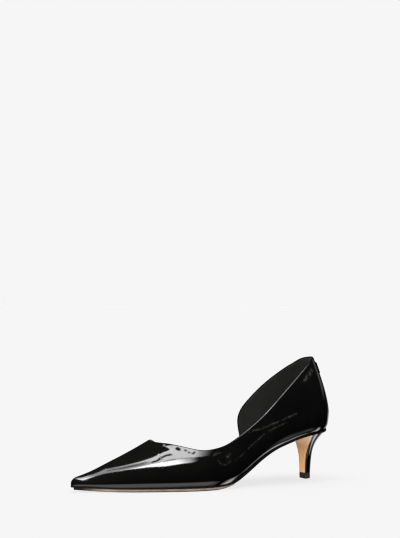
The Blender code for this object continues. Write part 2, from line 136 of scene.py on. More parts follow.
def smoothTable(table, column):
    step, margin, blend = smoothing["step"], smoothing["margin"], smoothing["blend"]
    xs = np.arange(-margin, length + margin, step)
    ys = np.interp(xs, np.array(table["place"]) * length, table[column])
    ys = softened(ys, blend, int(smoothing["reach"] * blend / step), step, mode="edge")
    return lambda at: np.interp(at, xs, ys)


def roundedTable(table, key, value):
    xs = np.linspace(table[key][0], table[key][-1], rounding["steps"])
    ys = np.interp(xs, table[key], table[value])
    line = ys[0] + (ys[-1] - ys[0]) * np.linspace(0.0, 1.0, len(xs))
    reach = int(rounding["reach"] * rounding["blend"])
    ys = line + softened(ys - line, rounding["blend"], reach, mode="reflect", reflect_type="odd")
    return lambda at: np.interp(at, xs, ys)


widthAt = {-1: smoothTable(outline, "lateral"), 1: smoothTable(outline, "medial")}
sectionAt = {name: smoothTable(sections, name) for name in sections if name != "place"}
undersideAt = smoothTable(underside, "height")
soleThickAt = smoothTable(soleLayers, "sole")
treadRoomAt = smoothTable(soleLayers, "tread")
marginAt = smoothTable(soleMargin, "margin")


def softStep(share):
    share = np.clip(share, 0.0, 1.0)
    return share * share * (3.0 - 2.0 * share)


def featherWidth(side, along):
    return widthAt[side](along) * lastSizes["ballWidth"]


def soleUnderside(along):
    return undersideAt(along) * lastSizes["heelHeight"]


def soleBottom(along):
    return soleUnderside(along) + treadRoomAt(along)


def soleTop(along):
    return soleBottom(along) + soleThickAt(along)


def featherHeight(along):
    return soleTop(along) + lastSizes["gap"]


def pastEnd(along, end, run):
    return np.clip((np.asarray(along) - (end - run)) / run, 0.0, 1.0)


def ridgeHeight(along):
    past = pastEnd(along, length, lastSizes["noseRound"])
    return sectionAt["ridge"](along) * (1.0 - lastSizes["noseDrop"] * (1.0 - np.sqrt(1.0 - past * past)))


def wallShape(along, height):
    ridge = ridgeHeight(along)
    widest = np.minimum(sectionAt["widest"](along), ridge * 0.5)
    climb = np.clip((height - widest) / (ridge - widest), 0.0, 1.0)
    share = (1.0 - climb ** sectionAt["rise"](along)) ** (1.0 / sectionAt["full"](along))
    turn = np.minimum(lastSizes["turnHeight"], widest)
    lean = (1.0 - lastSizes["turnShare"]) * np.clip(1.0 - height / widest, 0.0, 1.0) ** 2
    lean = lean + lastSizes["turnShare"] * np.clip(1.0 - height / turn, 0.0, 1.0) ** 2
    return share, lean * sectionAt["over"](along)


def sidePoint(side, along, height):
    along, height = np.broadcast_arrays(np.asarray(along, float), np.asarray(height, float))
    share, tuck = wallShape(along, height)
    past = pastEnd(along, length, lastSizes["toeRound"])
    middle = (featherWidth(1, along) - featherWidth(-1, along)) / 2
    half = (featherWidth(1, along) + featherWidth(-1, along)) / 2
    full = middle + side * (half + sectionAt["over"](along))
    offset = sectionAt["offset"](along)
    across = offset + (full - offset) * share - side * tuck
    across = middle + (across - middle) * np.sqrt(1.0 - past * past)
    return np.stack([along, across, featherHeight(along) + height], -1)


def backPoint(degrees, height):
    turn = np.radians(degrees)
    share, tuck = wallShape(seat, height)
    sideways = (featherWidth(1, seat) + sectionAt["over"](seat)) * share - tuck
    backwards = seat * share - tuck * lastSizes["backTuck"]
    along = seat - backwards * np.cos(turn)
    return np.stack([along, sideways * np.sin(turn), featherHeight(along) + height], -1)


def heightReaching(level, degrees):
    low, high = 0.0, 90.0
    for _ in range(36):
        middle = (low + high) / 2
        if backPoint(degrees, middle)[2] < level:
            low = middle
        else:
            high = middle
    return low


def evenly(points, count):
    steps = np.linalg.norm(np.diff(points, axis=0), axis=1)
    run = np.concatenate([[0.0], np.cumsum(steps)])
    marks = np.linspace(0.0, run[-1], count + 1)
    return np.stack([np.interp(marks, run, points[:, axis]) for axis in range(3)], -1)


def toShoe(points):
    points = np.asarray(points, float)
    return np.stack([lastSizes["centreAlong"] - points[..., 0], points[..., 1] - lastSizes["centreAcross"],
                     points[..., 2]], -1) * mm


def fromShoe(piece):
    places = np.array([vertex.co for vertex in piece.data.vertices]) / mm
    return np.stack([lastSizes["centreAlong"] - places[:, 0], places[:, 1] + lastSizes["centreAcross"],
                     places[:, 2]], -1)


# The upper's surface as columns of points, from the medial quarter round to the wing

upperLook = {
    "rows": 90,
    "lateralColumns": 150,
    "backStep": 4.5,
    "quarterColumns": 30,
    "wingColumns": 34,
    "vampColumns": 80,
    "profileSteps": 500,
    "backProfileSteps": 300,
    "patentThick": 1.35,
    "liningStart": 1.37,
    "liningThick": 0.33,
    "liningDrop": 0.3,
    # how far the rim's round edge rises over the last row: lateral, back and medial, then at the throat
    "rimAllowance": {"lateral": 1.35, "back": 0.7, "medial": 0.3, "throat": 0.6},
    "rimTurns": [-90.0, -60.0, 30.0, 90.0],
    "rimThroatStart": 140.0,
    "rimSteps": 7,
    "liningRimSteps": 3,
    # the medial cut edge is painted matt: columns past the quarter, depth, half width and strength
    "cutEdge": {"past": 4, "depth": 0.6, "width": 0.9, "strength": 1.2},
}


def sideColumn(side, along, level):
    turn = np.linspace(0.0, math.pi / 2, upperLook["profileSteps"])
    return evenly(sidePoint(side, along, (level - featherHeight(along)) * np.sin(turn)), upperLook["rows"])


def ridgeColumn(side, along):
    return sideColumn(side, along, featherHeight(along) + ridgeHeight(along))


def upperColumns():
    rows = upperLook["rows"]
    allowance = upperLook["rimAllowance"]
    columns = []
    collar = roundedTable(collarMedial, "along", "height")
    front = roundedTable(quarterFront, "height", "along")
    foot, corner = quarterFront["along"][0], collarMedial["along"][-1]
    rise = np.linspace(0.0, 1.0, upperLook["profileSteps"])
    frontHeight = featherHeight(foot) + (collarMedial["height"][-1] - featherHeight(foot)) * rise
    bow = front(frontHeight) - (foot + (corner - foot) * rise)
    for share in np.linspace(1.0, 0.0, upperLook["quarterColumns"] + 1):
        base = seat + (foot - seat) * share
        top = seat + (corner - seat) * share
        along = base + (top - base) * rise + share * bow
        level = featherHeight(base) + (collar(top) - allowance["medial"] - featherHeight(base)) * rise
        columns.append(evenly(sidePoint(1, along, np.maximum(level - featherHeight(along), 0.0)), rows))
    backLevel = roundedTable(collarBack, "degrees", "height")
    backLower = [allowance[name] for name in ("lateral", "back", "back", "medial")]
    step = upperLook["backStep"]
    for degrees in np.arange(90.0 - step, -90.0, -step):
        lower = float(np.interp(degrees, upperLook["rimTurns"], backLower))
        top = heightReaching(backLevel(degrees) - lower, degrees)
        columns.append(evenly(backPoint(degrees, np.linspace(0.0, top, upperLook["backProfileSteps"])), rows))
    lateral = roundedTable(collarLateral, "along", "height")
    for along in np.linspace(seat, throat, upperLook["lateralColumns"] + 1)[:-1]:
        lower = float(np.interp(along, [upperLook["rimThroatStart"], throat],
                                [allowance["lateral"], allowance["throat"]]))
        columns.append(sideColumn(-1, along, lateral(along) - lower))
    throatColumn = len(columns)
    vamp = throat + (length - throat) * np.sin(np.linspace(0.0, math.pi / 2, upperLook["vampColumns"] + 1))
    columns += [ridgeColumn(-1, along) for along in vamp[:-1]]
    columns.append(ridgeColumn(1, length))
    columns += [ridgeColumn(1, along) for along in vamp[-2::-1]]
    medialThroat = len(columns) - 1
    wingLevel = roundedTable(wing, "along", "height")
    for along in np.linspace(throat, wingTip, upperLook["wingColumns"] + 1)[1:]:
        columns.append(sideColumn(1, along, wingLevel(along)))
    return np.array(columns), throatColumn, medialThroat


# Creases placed on the lateral side: points are (along, across, height), width and depth in mm,
# farWidth is the width above the line, and a depth below nothing is a ridge
creases = {
    "collarRoll": {
        "path": [(169.0, -9.5, 39.6), (163.1, -14.1, 39.6), (159.1, -17.9, 38.9), (154.1, -21.8, 38.2),
                 (149.2, -25.6, 36.8)],
        "width": 2.4, "farWidth": 2.4, "depth": -0.34, "fadeEnds": (0.12, 0.5)},
    "throatFold": {
        "path": [(181.5, -20.0, 25.6), (180.4, -20.3, 26.0), (177.7, -20.5, 27.3), (173.9, -20.8, 29.2),
                 (170.3, -21.2, 30.8), (165.4, -23.2, 31.6)],
        "width": 0.5, "farWidth": 1.8, "depth": 0.24, "fadeEnds": (0.15, 0.25)},
    "stripeLine": {
        "path": [(220.7, -3.9, 17.0), (210.4, -8.5, 19.3), (200.7, -12.3, 21.5), (192.6, -15.6, 23.2),
                 (184.5, -18.7, 25.1)],
        "width": 0.4, "farWidth": 1.2, "depth": 0.05, "fadeEnds": (0.2, 0.2)},
    "longFold": {
        "path": [(112.5, -34.6, 17.7), (103.1, -31.6, 24.8), (91.9, -29.1, 32.8), (81.1, -27.6, 41.0),
                 (72.8, -27.2, 46.8), (60.8, -27.4, 53.4), (50.8, -27.6, 59.2), (40.6, -27.6, 63.2)],
        "width": 0.8, "farWidth": 2.0, "depth": 0.22, "fadeEnds": (0.2, 0.3)},
    "ballWave": {
        "path": [(131.0, -36.6, 25.0), (126.0, -35.6, 28.6), (118.0, -33.0, 31.0)],
        "width": 0.9, "farWidth": 0.9, "depth": 0.26, "fadeEnds": (0.3, 0.3)},
    "ballWaveLow": {
        "path": [(124.5, -35.8, 24.0), (119.0, -35.0, 27.0), (113.0, -33.0, 29.0)],
        "width": 0.9, "farWidth": 0.9, "depth": 0.22, "fadeEnds": (0.3, 0.3)},
    "backMark": {
        "path": [(31.1, -17.9, 98.2), (28.6, -19.0, 95.5), (25.9, -19.6, 93.6)],
        "width": 0.8, "farWidth": 0.8, "depth": 0.22, "fadeEnds": (0.3, 0.3)},
}
# small dents near the throat: place, radius below and above, depth
dents = [
    ((159.7, -21.2, 36.3), 0.75, 1.5, 0.34),
    ((154.0, -25.5, 34.2), 0.5, 1.5, 0.16),
    ((151.6, -27.7, 32.8), 0.5, 1.5, 0.13),
    ((148.4, -29.6, 32.2), 0.55, 1.6, 0.16),
]
# painted reflections: faint pale streaks on the quarter where its creases catch the light: a path, its half
# width and its strength
reflectionStreaks = [
    ([(42.5, -27.5, 63.0), (51.5, -27.5, 60.0), (60.5, -27.0, 56.5), (70.5, -26.5, 53.5),
      (79.0, -26.0, 50.5), (93.0, -25.5, 48.0)], 0.5, 0.75),
    ([(55.0, -27.5, 55.0), (65.5, -27.0, 51.0), (76.5, -27.0, 46.0), (84.0, -27.5, 40.5),
      (91.5, -28.5, 35.5), (100.5, -30.5, 29.0), (109.5, -33.0, 24.0)], 0.45, 0.6),
    ([(128.0, -36.5, 26.0), (125.5, -37.0, 23.0), (121.5, -36.5, 21.5), (117.0, -35.0, 22.5),
      (113.0, -33.5, 25.5)], 0.45, 0.5),
    ([(118.0, -34.0, 28.0), (114.0, -32.5, 30.5)], 0.8, 1.0),
    ([(131.5, -34.5, 30.0), (127.0, -33.5, 32.0), (124.0, -33.5, 32.0)], 0.6, 0.7),
    ([(33.5, -20.5, 90.5), (30.0, -19.5, 93.5), (26.0, -18.5, 97.0), (22.0, -16.0, 101.5)], 1.0, 0.7),
]
# hairline folds that break the gloss near the throat, given the same way
hairlines = [
    ([(183.5, -18.5, 25.0), (180.0, -19.5, 26.0), (177.5, -20.0, 27.0), (175.5, -19.5, 28.5),
      (173.5, -20.0, 29.5), (170.0, -20.5, 31.0), (165.0, -22.5, 31.5)], 0.62, 1.3),
    ([(160.7, -20.6, 35.0), (159.2, -20.3, 36.5), (158.3, -22.0, 35.2), (160.0, -21.0, 35.6)], 0.85, 1.4),
    ([(154.4, -24.4, 35.2), (153.1, -25.7, 34.4)], 0.55, 1.2),
    ([(152.1, -27.0, 33.6), (150.9, -28.5, 32.6)], 0.5, 1.0),
    ([(149.6, -29.8, 31.8), (148.1, -29.5, 32.5), (146.2, -29.4, 33.9)], 0.5, 1.2),
    ([(220.0, -2.0, 17.5), (208.0, -7.5, 20.0), (196.0, -13.0, 23.0), (185.5, -17.0, 25.5)], 0.45, 0.75),
    ([(212.5, -6.5, 19.0), (200.5, -11.5, 21.5), (187.5, -17.5, 23.5)], 0.4, 0.6),
]
# how a mark fades in over its start and its end, and its share left at the very tips
markFade = {"start": 0.12, "end": 0.15, "left": 0.3}


def distanceToPath(points, path):
    # for each point: how far the path is, how far along it, and whether the point lies above it
    path = np.array(path, float)
    best = np.full(len(points), 1e9)
    place = np.zeros(len(points))
    above = np.zeros(len(points))
    total = np.concatenate([[0.0], np.cumsum(np.linalg.norm(np.diff(path, axis=0), axis=1))])
    for index in range(len(path) - 1):
        start, run = path[index], path[index + 1] - path[index]
        share = np.clip(((points - start) @ run) / (run @ run), 0.0, 1.0)
        apart = points - start - share[:, None] * run
        away = np.linalg.norm(apart, axis=1)
        closer = away < best
        best[closer] = away[closer]
        above[closer] = apart[closer, 2]
        place[closer] = (total[index] + share * (total[index + 1] - total[index]))[closer] / total[-1]
    return best, place, above


def creaseDepth(points):
    depth = np.zeros(len(points))
    for crease in creases.values():
        away, place, above = distanceToPath(points, crease["path"])
        start, end = crease["fadeEnds"]
        fade = softStep(place / start) * softStep((1.0 - place) / end)
        width = np.where(above > 0.0, crease["farWidth"], crease["width"])
        depth += crease["depth"] * bell(away, width) * fade
    for place, radius, farRadius, deep in dents:
        apart = points - np.array(place)
        width = np.where(apart[:, 2] > 0.0, farRadius, radius)
        depth += deep * bell(np.linalg.norm(apart, axis=1), width)
    return depth


def lineShare(points, lines):
    share = np.zeros(len(points))
    for path, width, strength in lines:
        away, place, _ = distanceToPath(points, path)
        fade = softStep(place / markFade["start"] + markFade["left"])
        fade = fade * softStep((1.0 - place) / markFade["end"] + markFade["left"])
        share = np.maximum(share, strength * bell(away, width) * fade)
    return share


# Mesh helpers

def gridQuads(columns, rows, start=0):
    quads = []
    for column in range(columns - 1):
        for row in range(rows - 1):
            corner = start + column * rows + row
            quads.append([corner, corner + 1, corner + 1 + rows, corner + rows])
    return quads


def slabQuads(columns, rows):
    # two grids, one over the other, closed round their edges
    base = columns * rows
    faces = gridQuads(columns, rows) + gridQuads(columns, rows, base)
    for column in range(columns - 1):
        for row in (0, rows - 1):
            corner = column * rows + row
            faces.append([corner, corner + rows, corner + rows + base, corner + base])
    for row in range(rows - 1):
        for column in (0, columns - 1):
            corner = column * rows + row
            faces.append([corner, corner + 1, corner + 1 + base, corner + base])
    return faces


def addPiece(name, mesh):
    piece = bpy.data.objects.new(name, mesh)
    bpy.context.scene.collection.objects.link(piece)
    return piece


def smoothShaded(mesh):
    mesh.polygons.foreach_set("use_smooth", [True] * len(mesh.polygons))


def makePiece(name, points, faces, finish, merge=0.00001, sharpAngle=45.0):
    mesh = bpy.data.meshes.new(name)
    mesh.from_pydata(toShoe(points).tolist(), [], faces)
    mesh.materials.append(finish)
    work = bmesh.new()
    work.from_mesh(mesh)
    bmesh.ops.remove_doubles(work, verts=work.verts, dist=merge)
    bmesh.ops.dissolve_degenerate(work, edges=work.edges, dist=merge * 0.2)
    bmesh.ops.recalc_face_normals(work, faces=work.faces)
    work.to_mesh(mesh)
    work.free()
    smoothShaded(mesh)
    mesh.set_sharp_from_angle(angle=math.radians(sharpAngle))
    return addPiece(name, mesh)


def bakeModifiers(piece):
    graph = bpy.context.evaluated_depsgraph_get()
    finished = bpy.data.meshes.new_from_object(piece.evaluated_get(graph))
    piece.modifiers.clear()
    old = piece.data
    piece.data = finished
    bpy.data.meshes.remove(old)


def roundEdges(piece, width, segments=3, angle=60.0):
    bevel = piece.modifiers.new("edges", "BEVEL")
    bevel.width = width * mm
    bevel.segments = segments
    bevel.limit_method = "ANGLE"
    bevel.angle_limit = math.radians(angle)
    bakeModifiers(piece)
    return piece


# Finishes

class Graph:
    # makes and joins nodes; a value is a socket to join or a number to set

    def __init__(self, tree):
        self.nodes, self.links = tree.nodes, tree.links

    def fill(self, node, values):
        for name, value in values.items():
            if isinstance(value, bpy.types.NodeSocket):
                self.links.new(value, node.inputs[name])
            else:
                node.inputs[name].default_value = value

    def add(self, kind, values=None, **settings):
        node = self.nodes.new(kind)
        for name, value in settings.items():
            setattr(node, name, value)
        self.fill(node, values or {})
        return node.outputs

    def axes(self, kind, output):
        return self.add("ShaderNodeSeparateXYZ", {"Vector": self.add(kind)[output]})

    def noise(self, scale, detail, roughness, stretch=(1.0, 1.0, 1.0)):
        place = self.add("ShaderNodeMapping", {"Vector": self.add("ShaderNodeTexCoord")["Object"],
                                               "Scale": stretch})["Vector"]
        return self.add("ShaderNodeTexNoise", {"Vector": place, "Scale": scale, "Detail": detail,
                                               "Roughness": roughness})["Fac"]

    def bump(self, height, strength, distance, below=None):
        values = {"Height": height, "Strength": strength, "Distance": distance}
        if below is not None:
            values["Normal"] = below
        return self.add("ShaderNodeBump", values)["Normal"]

    def span(self, value, low, high, fromLow=0.3, fromHigh=0.7):
        return self.add("ShaderNodeMapRange", {"Value": value, "From Min": fromLow, "From Max": fromHigh,
                                               "To Min": low, "To Max": high})["Result"]

    def colours(self, value, stops):
        node = self.nodes.new("ShaderNodeValToRGB")
        ramp = node.color_ramp.elements
        for element, (position, colour) in zip(ramp, (stops[0], stops[-1])):
            element.position, element.color = position, (*colour, 1.0)
        for position, colour in stops[1:-1]:
            ramp.new(position).color = (*colour, 1.0)
        self.fill(node, {"Fac": value})
        return node.outputs["Color"]

    def math(self, kind, first, second):
        return self.add("ShaderNodeMath", {0: first, 1: second}, operation=kind)["Value"]

    def product(self, first, *others):
        for other in others:
            first = self.math("MULTIPLY", first, other)
        return first

    def blend(self, share, first, second):
        return self.add("ShaderNodeMix", {"Factor": share, 6: first, 7: second}, data_type="RGBA")[2]

    def attribute(self, name):
        return self.add("ShaderNodeAttribute", attribute_name=name)["Fac"]


def newMaterial(name):
    finish = bpy.data.materials.new(name)
    finish.use_nodes = True
    graph = Graph(finish.node_tree)
    return finish, graph, graph.nodes["Principled BSDF"]


def patentLeather(name, wave=0.015, haze=0.035):
    finish, graph, shader = newMaterial(name)
    smudges = graph.noise(35.0, 4.0, 0.6)
    # the toe is a little duller where it is knocked
    knocked = graph.span(graph.axes("ShaderNodeTexCoord", "Object")["X"], 0.11, 0.0, -0.126, -0.104)
    rough = graph.math("ADD", graph.span(smudges, haze, haze + 0.035), knocked)
    fold = graph.attribute("fold")
    black = graph.colours(smudges, [(0.3, (0.0022, 0.0021, 0.0021)), (0.7, (0.0036, 0.0034, 0.0032))])
    broken = graph.span(graph.noise(420.0, 4.0, 0.6), 0.0, 1.0, 0.42, 0.58)
    swell = graph.bump(graph.noise(70.0, 2.0, 0.4), wave, 0.0012)
    graph.fill(shader, {
        "IOR": 1.55,
        "Coat IOR": 1.5,
        # the base colour pales along the listed streaks: painted reflections of the quarter's creases
        "Base Color": graph.blend(graph.product(graph.attribute("paintedReflection"), broken), black,
                                  (0.045, 0.043, 0.040, 1.0)),
        "Roughness": graph.math("ADD", rough, graph.span(fold, 0.0, 0.6, 0.1, 0.9)),
        "Specular IOR Level": graph.span(fold, 0.5, 0.05, 0.1, 0.9),
        "Coat Weight": graph.span(fold, 0.5, 0.0, 0.1, 0.7),
        "Coat Roughness": graph.math("ADD", knocked, 0.02),
        "Coat Normal": swell,
        "Normal": graph.bump(graph.noise(900.0, 2.0, 0.5), 0.05, 0.00006, swell),
    })
    return finish


# Each soft finish: the noise of its patches with their colours and roughness, then its relief from the bottom
# up, each with a noise, a strength and a height in metres. A second colour can take over along the shoe or by
# height: edge ink round the toe of the tread, painted contact shadow at the foot of the tread, and a painted
# highlight that pales the facing at the top
liningLook = {
    "patches": (55.0, 5.0, 0.6), "rough": (0.52, 0.66), "pebble": (1500.0, 0.25, 0.00012),
    "relief": [((120.0, 3.0, 0.5), 0.12, 0.0006)],
    "other": {"Specular IOR Level": 0.4, "Sheen Weight": 0.15, "Sheen Roughness": 0.5},
}
tanLook = {
    "patches": (90.0, 6.0, 0.62, (1.0, 1.0, 0.5)),
    "relief": [((2400.0, 2.0, 0.6), 0.3, 0.00008), ((420.0, 4.0, 0.7, (0.25, 1.0, 1.0)), 0.2, 0.00012)],
    "other": {"Specular IOR Level": 0.45},
}
softLooks = {
    "liningLeather": {**liningLook, "stops": [(0.3, (0.011, 0.0107, 0.0100)), (0.7, (0.020, 0.0194, 0.0182))]},
    "sockLeather": {**liningLook, "stops": [(0.3, (0.010, 0.0098, 0.0092)), (0.7, (0.017, 0.0165, 0.0155))]},
    "edgePaint": {
        "patches": (160.0, 4.0, 0.6), "rough": (0.28, 0.45),
        "stops": [(0.3, (0.004, 0.004, 0.004)), (0.75, (0.010, 0.0095, 0.009))],
        "relief": [((700.0, 3.0, 0.6, (1.0, 1.0, 4.0)), 0.3, 0.00012)],
    },
    "breastTan": {
        **tanLook, "rough": (0.42, 0.56),
        "stops": [(0.28, (0.48, 0.235, 0.098)), (0.5, (0.57, 0.295, 0.125)), (0.75, (0.64, 0.35, 0.165))],
        # the paler top of the facing is a painted highlight standing in for light under the sole's edge
        "inkAndPaintedLight": {"along": (-1.0, -0.9), "up": (0.038, 0.030), "colour": (0.72, 0.50, 0.32)},
    },
    "treadTan": {
        **tanLook, "rough": (0.5, 0.64),
        "stops": [(0.28, (0.20, 0.145, 0.105)), (0.5, (0.27, 0.20, 0.15)), (0.75, (0.34, 0.26, 0.20))],
        # the dark foot of the tread is painted contact shadow; the dark toe is edge ink
        "inkAndPaintedLight": {"along": (-0.116, -0.098), "up": (0.0003, 0.0008), "colour": (0.012, 0.009, 0.007)},
    },
    "liftRubber": {
        "patches": (260.0, 4.0, 0.6), "rough": (0.5, 0.7),
        "stops": [(0.3, (0.014, 0.0135, 0.013)), (0.75, (0.030, 0.028, 0.026))],
        "relief": [((2600.0, 2.0, 0.5), 0.35, 0.00008)],
    },
    "blackThread": {
        "patches": (3000.0, 2.0, 0.5), "rough": (0.55, 0.55),
        "stops": [(0.3, (0.004, 0.004, 0.004)), (0.75, (0.012, 0.012, 0.011))],
        "relief": [], "other": {"Sheen Weight": 0.2},
    },
}


def softFinish(name):
    look = softLooks[name]
    finish, graph, shader = newMaterial(name)
    patches = graph.noise(*look["patches"])
    colour = graph.colours(patches, look["stops"])
    # a second colour laid over part of the finish: edge ink, a painted contact shadow on the tread and a
    # painted highlight on the facing
    if "inkAndPaintedLight" in look:
        inkAndPaintedLight = look["inkAndPaintedLight"]
        axes = graph.axes("ShaderNodeTexCoord", "Object")
        clear = graph.product(graph.span(axes["X"], 0.0, 1.0, *inkAndPaintedLight["along"]),
                              graph.span(axes["Z"], 0.0, 1.0, *inkAndPaintedLight["up"]))
        colour = graph.blend(clear, (*inkAndPaintedLight["colour"], 1.0), colour)
    grain = None
    if "pebble" in look:
        scale, strength, height = look["pebble"]
        cells = graph.add("ShaderNodeTexVoronoi", {"Vector": graph.add("ShaderNodeTexCoord")["Object"],
                                                   "Scale": scale})["Distance"]
        grain = graph.bump(cells, strength, height)
    for noise, strength, height in look["relief"]:
        grain = graph.bump(graph.noise(*noise), strength, height, grain)
    values = {"Base Color": colour, "Roughness": graph.span(patches, *look["rough"]), **look.get("other", {})}
    if grain is not None:
        values["Normal"] = grain
    graph.fill(shader, values)
    return finish


patent = patentLeather("patentLeather")
heelPatent = patentLeather("heelPatent", 0.05, 0.04)
lining, sock, edgePaint, breastTan, treadTan, rubber, thread = (softFinish(name) for name in softLooks)
print("finishes ready")


# Upper: patent shell with a turned edge, and a thin lining inside it

def surfaceNormals(points, faces):
    # the outward normal at every point of the closed-up surface
    mesh = bpy.data.meshes.new("surface")
    mesh.from_pydata(points.tolist(), [], faces)
    work = bmesh.new()
    work.from_mesh(mesh)
    bmesh.ops.remove_doubles(work, verts=work.verts, dist=0.02)
    bmesh.ops.recalc_face_normals(work, faces=work.faces)
    outward = sum(face.normal.y * (face.calc_center_median().y - 3.0) for face in work.faces)
    sign = 1.0 if outward > 0.0 else -1.0
    finder = KDTree(len(work.verts))
    for index, vert in enumerate(work.verts):
        finder.insert(vert.co, index)
    finder.balance()
    kept = np.array([(vert.normal * sign)[:] for vert in work.verts])
    work.free()
    bpy.data.meshes.remove(mesh)
    return np.array([kept[finder.find(point)[1]] for point in points])


columns, throatColumn, medialThroat = upperColumns()
columnCount, rowCount = columns.shape[:2]
flatPoints = columns.reshape(-1, 3)
flatNormals = surfaceNormals(flatPoints, gridQuads(columnCount, rowCount))
flatPoints = flatPoints - flatNormals * creaseDepth(flatPoints)[:, None]
columns = flatPoints.reshape(columnCount, rowCount, 3)
normals = flatNormals.reshape(columnCount, rowCount, 3)


def boundaryLoop():
    # up the quarter's front edge, round the collar, over the throat, down to the wing's tip
    top = rowCount - 1
    collar = list(range(throatColumn + 1)) + list(range(medialThroat + 1, columnCount))
    return ([(0, row) for row in range(top)] + [(column, top) for column in collar]
            + [(columnCount - 1, row) for row in range(top - 1, -1, -1)])


def unit(vectors):
    return vectors / np.linalg.norm(vectors, axis=1, keepdims=True)


def shellFrom(outer, inner, rimSteps, name, finish):
    count = columnCount * rowCount
    faces = gridQuads(columnCount, rowCount) + gridQuads(columnCount, rowCount, count)
    places = boundaryLoop()
    edgeOut = np.array([outer[place] for place in places])
    edgeIn = np.array([inner[place] for place in places])
    half = (edgeOut - edgeIn) / 2
    radius = np.linalg.norm(half, axis=1, keepdims=True)
    away = unit(np.cross(unit(np.gradient(edgeOut, axis=0)), half / radius))
    inward = np.array([outer[min(max(column, 1), columnCount - 2), max(row - 1, 0)]
                       for column, row in places]) - edgeOut
    away[np.sum(away * inward, axis=1) > 0.0] *= -1.0
    for _ in range(3):
        away[1:-1] = (away[:-2] + away[1:-1] + away[2:]) / 3
    away = unit(away)
    turns = [math.pi * step / rimSteps for step in range(rimSteps + 1)]
    ring = np.stack([(edgeOut + edgeIn) / 2 + half * math.cos(turn) + away * radius * math.sin(turn)
                     for turn in turns], 1)
    start = 2 * count
    faces += gridQuads(len(places), rimSteps + 1, start)
    for end in (0, len(places) - 1):
        faces.append([start + end * (rimSteps + 1) + step for step in range(rimSteps + 1)])
    for column in range(columnCount - 1):
        low = column * rowCount
        faces.append([low, low + rowCount, low + rowCount + count, low + count])
    points = np.concatenate([part.reshape(-1, 3) for part in (outer, inner, ring)])
    return makePiece(name, points, faces, finish, 0.000004, 60.0)


upperPatent = shellFrom(columns, columns - normals * upperLook["patentThick"], upperLook["rimSteps"],
                        "upperPatent", patent)
cut = upperLook["cutEdge"]
cutColumns = slice(upperLook["quarterColumns"] + cut["past"])
hairlines.append((columns[cutColumns, -1] - normals[cutColumns, -1] * cut["depth"], cut["width"],
                  cut["strength"]))
# the first attribute paints the streaks into the colour as reflections; the second only makes the hairlines and
# cut edge matt
for name, lines in (("paintedReflection", reflectionStreaks), ("fold", hairlines)):
    marks = upperPatent.data.attributes.new(name, "FLOAT", "POINT")
    marks.data.foreach_set("value", lineShare(fromShoe(upperPatent), lines))
print("patent shell:", len(upperPatent.data.polygons), "faces")

# the lining stops short of the turned edge, and the columns of the vamp have no edge
heights = np.maximum(np.linalg.norm(np.diff(columns, axis=1), axis=2).sum(axis=1), 3.0)
drops = np.minimum(upperLook["liningDrop"] / heights, 0.5)
drops[throatColumn:medialThroat + 1] = 0.0
liningRows, liningNormals = np.empty_like(columns), np.empty_like(normals)
for column, drop in enumerate(drops):
    marks = np.linspace(0.0, (rowCount - 1) * (1.0 - drop), rowCount)
    low = np.floor(marks).astype(int).clip(0, rowCount - 2)
    part = (marks - low)[:, None]
    for given, result in ((columns, liningRows), (normals, liningNormals)):
        result[column] = given[column][low] * (1 - part) + given[column][low + 1] * part
liningDepth = upperLook["liningStart"] + upperLook["liningThick"]
upperLining = shellFrom(liningRows - liningNormals * upperLook["liningStart"],
                        liningRows - liningNormals * liningDepth, upperLook["liningRimSteps"],
                        "upperLining", lining)
print("lining:", len(upperLining.data.polygons), "faces")


# Sole, tread and insole: plates along the outline

plateLook = {
    "stations": 220,
    "strips": 22,
    "insoleThick": 2.6,
    "treadStations": 140,
    "treadStart": 108.0,
    "treadInset": 0.1,
    "treadToe": 2.4,
    "treadToeStart": 224.0,
    "treadToeRun": 20.0,
    "treadExtra": 0.45,
    "treadExtraStart": 106.0,
    "treadExtraRun": 16.0,
    "soleRaise": 0.22,
    "seatGap": 0.06,
    "soleEdge": 0.25,
    "treadEdge": 0.3,
    "insoleEdge": 0.7,
}
insoleInset = {
    "along": [0.0, 68.0, 80.0, 112.0, 126.0, 250.0],
    "inset": [2.3, 2.3, 0.6, 0.6, 2.3, 2.3],
    "toe": 4.0,
    "blend": 4.0,
    "blendSteps": 25,
}
seatTuck = sectionAt["over"](seat) * lastSizes["backTuck"]


def outlineEdges(along, inset, toeInset, heelInset):
    toeRound = lastSizes["toeRound"]
    pastSeat = np.clip((seat - along) / (seat - seatTuck - heelInset), 0.0, 1.0)
    pastToe = np.clip((along - (length - toeInset - toeRound)) / toeRound, 0.0, 1.0)
    share = math.sqrt(max(1.0 - pastSeat ** 2, 0.0)) * math.sqrt(max(1.0 - pastToe ** 2, 0.0))
    middle = (featherWidth(1, along) - featherWidth(-1, along)) / 2
    low = -(featherWidth(-1, along) - inset)
    high = featherWidth(1, along) - inset
    return middle + (low - middle) * share, middle + (high - middle) * share


def easedShares(count):
    return (1.0 - np.cos(np.linspace(0.0, math.pi, count))) / 2


def plate(name, stations, edges, top, bottom, finish, edgeRound):
    shares = easedShares(plateLook["strips"] + 1)
    upperFace, lowerFace = [], []
    for along in stations:
        low, high = edges(along)
        across = low + (high - low) * shares
        place = np.full_like(across, along)
        upperFace.append(np.stack([place, across, top(place)], -1))
        lowerFace.append(np.stack([place, across, bottom(place)], -1))
    piece = makePiece(name, np.concatenate(upperFace + lowerFace), slabQuads(len(stations), len(shares)),
                      finish, 0.00002, 35.0)
    return roundEdges(piece, edgeRound, 3, 55.0)


def bothEnds(start, end):
    return start + (end - start) * easedShares(plateLook["stations"])


def underSeat(along):
    return soleBottom(along) - plateLook["seatGap"]


def treadExtra(along):
    share = softStep((along - plateLook["treadExtraStart"]) / plateLook["treadExtraRun"])
    return plateLook["treadExtra"] * share


